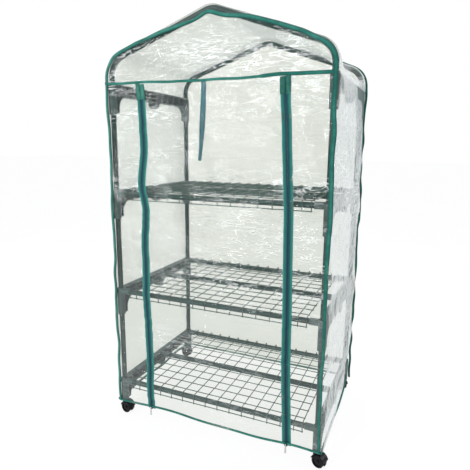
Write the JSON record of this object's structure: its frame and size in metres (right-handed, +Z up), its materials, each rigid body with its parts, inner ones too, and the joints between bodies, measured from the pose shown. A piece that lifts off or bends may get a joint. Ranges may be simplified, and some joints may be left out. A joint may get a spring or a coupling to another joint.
{
  "type": "mini greenhouse",
  "caption": "Small plug-together growing house: tube frame with wire shelves, peaked roof, clear zipped film cover and swivel casters.",
  "frame": {"origin": "on the floor at the centre of the footprint between the four posts", "axes": "+X across the front to the right as seen from the door, -Y out of the door, +Z up"},
  "size_m": [0.7267, 0.4859, 1.254],
  "materials": {
    "bracket_plastic": "moulded, fine grain",
    "frame_tube": "satin powder coat",
    "shelf_wire": "satin coated wire",
    "caster_housing": "satin black",
    "caster_wheel": "satin black",
    "stem_steel": "plated",
    "zip_tape": "woven",
    "clear_film": "glossy clear film",
    "slider_metal": "enamel",
    "pull_metal": "plated",
    "strap_webbing": "woven"
  },
  "bodies": {
    "frame": {"caster_stems": "stem_steel", "cover_back": "clear_film", "cover_front_left": "clear_film", "cover_front_right": "clear_film", "cover_gable": "clear_film", "cover_roof": "clear_film", "cover_wall_left": "clear_film", "cover_wall_right": "clear_film", "cover_zip_tapes": "zip_tape", "post_front_left_lower": "frame_tube", "post_front_left_middle": "frame_tube", "post_front_left_upper": "frame_tube", "post_front_right_lower": "frame_tube", "post_front_right_middle": "frame_tube", "post_front_right_upper": "frame_tube", "post_rear_left_lower": "frame_tube", "post_rear_left_middle": "frame_tube", "post_rear_left_upper": "frame_tube", "post_rear_right_lower": "frame_tube", "post_rear_right_middle": "frame_tube", "post_rear_right_upper": "frame_tube", "roof_arch_front_left": "frame_tube", "roof_arch_front_right": "frame_tube", "roof_arch_rear_left": "frame_tube", "roof_arch_rear_right": "frame_tube", "shelf_tube_centre_base": "frame_tube", "shelf_tube_centre_middle": "frame_tube", "shelf_tube_centre_upper": "frame_tube", "shelf_tube_front_base": "frame_tube", "shelf_tube_front_middle": "frame_tube", "shelf_tube_front_upper": "frame_tube", "shelf_tube_rear_base": "frame_tube", "shelf_tube_rear_middle": "frame_tube", "shelf_tube_rear_upper": "frame_tube", "side_bracket_left_base": "bracket_plastic", "side_bracket_left_eave": "bracket_plastic", "side_bracket_left_middle": "bracket_plastic", "side_bracket_left_upper": "bracket_plastic", "side_bracket_right_base": "bracket_plastic", "side_bracket_right_eave": "bracket_plastic", "side_bracket_right_middle": "bracket_plastic", "side_bracket_right_upper": "bracket_plastic", "tie_strap": "strap_webbing", "wire_shelf_base": "shelf_wire", "wire_shelf_middle": "shelf_wire", "wire_shelf_upper": "shelf_wire"},
    "door": {"door_panel": "clear_film", "door_zip_tapes": "zip_tape"},
    "zip_slider_left": {"zip_slider_left": "slider_metal"},
    "zip_pull_left": {"zip_pull_left": "pull_metal"},
    "zip_slider_right": {"zip_slider_right": "slider_metal"},
    "zip_pull_right": {"zip_pull_right": "pull_metal"},
    "caster_front_left": {"caster_housing_front_left": "caster_housing"},
    "wheels_front_left": {"caster_wheels_front_left": "caster_wheel"},
    "caster_front_right": {"caster_housing_front_right": "caster_housing"},
    "wheels_front_right": {"caster_wheels_front_right": "caster_wheel"},
    "caster_rear_left": {"caster_housing_rear_left": "caster_housing"},
    "wheels_rear_left": {"caster_wheels_rear_left": "caster_wheel"},
    "caster_rear_right": {"caster_housing_rear_right": "caster_housing"},
    "wheels_rear_right": {"caster_wheels_rear_right": "caster_wheel"}
  },
  "joints": [
    {"name": "door_lift", "type": "hinge", "parent": "frame", "child": "door", "pos_m": [0, -0.2354, 1.064], "axis": [-1, 0, 0], "range_deg": [0, 110]},
    {"name": "zip_left_slide", "type": "slide", "parent": "frame", "child": "zip_slider_left", "axis": [-0.006, 0, 1], "range_m": [0, 1]},
    {"name": "zip_left_pull_swing", "type": "hinge", "parent": "zip_slider_left", "child": "zip_pull_left", "pos_m": [-0.21396, -0.241, 0.05], "axis": [-1, 0, 0], "range_deg": [0, 150]},
    {"name": "zip_right_slide", "type": "slide", "parent": "frame", "child": "zip_slider_right", "axis": [-0.0329, 0, 0.9995], "range_m": [0, 1]},
    {"name": "zip_right_pull_swing", "type": "hinge", "parent": "zip_slider_right", "child": "zip_pull_right", "pos_m": [0.2442, -0.241, 0.05], "axis": [-1, 0, 0], "range_deg": [0, 150]},
    {"name": "caster_front_left_swivel", "type": "hinge", "parent": "frame", "child": "caster_front_left", "pos_m": [-0.33, -0.22, 0.04], "axis": [0, 0, 1], "continuous": true},
    {"name": "caster_front_left_roll", "type": "hinge", "parent": "caster_front_left", "child": "wheels_front_left", "pos_m": [-0.32012, -0.22156, 0.0185], "axis": [0.1564, 0.9877, 0], "continuous": true},
    {"name": "caster_front_right_swivel", "type": "hinge", "parent": "frame", "child": "caster_front_right", "pos_m": [0.33, -0.22, 0.04], "axis": [0, 0, 1], "continuous": true},
    {"name": "caster_front_right_roll", "type": "hinge", "parent": "caster_front_right", "child": "wheels_front_right", "pos_m": [0.33951, -0.22309, 0.0185], "axis": [0.309, 0.9511, 0], "continuous": true},
    {"name": "caster_rear_left_swivel", "type": "hinge", "parent": "frame", "child": "caster_rear_left", "pos_m": [-0.33, 0.22, 0.04], "axis": [0, 0, 1], "continuous": true},
    {"name": "caster_rear_left_roll", "type": "hinge", "parent": "caster_rear_left", "child": "wheels_rear_left", "pos_m": [-0.33978, 0.22208, 0.0185], "axis": [-0.2079, -0.9781, 0], "continuous": true},
    {"name": "caster_rear_right_swivel", "type": "hinge", "parent": "frame", "child": "caster_rear_right", "pos_m": [0.33, 0.22, 0.04], "axis": [0, 0, 1], "continuous": true},
    {"name": "caster_rear_right_roll", "type": "hinge", "parent": "caster_rear_right", "child": "wheels_rear_right", "pos_m": [0.3206, 0.22342, 0.0185], "axis": [-0.342, -0.9397, 0], "continuous": true}
  ]
}
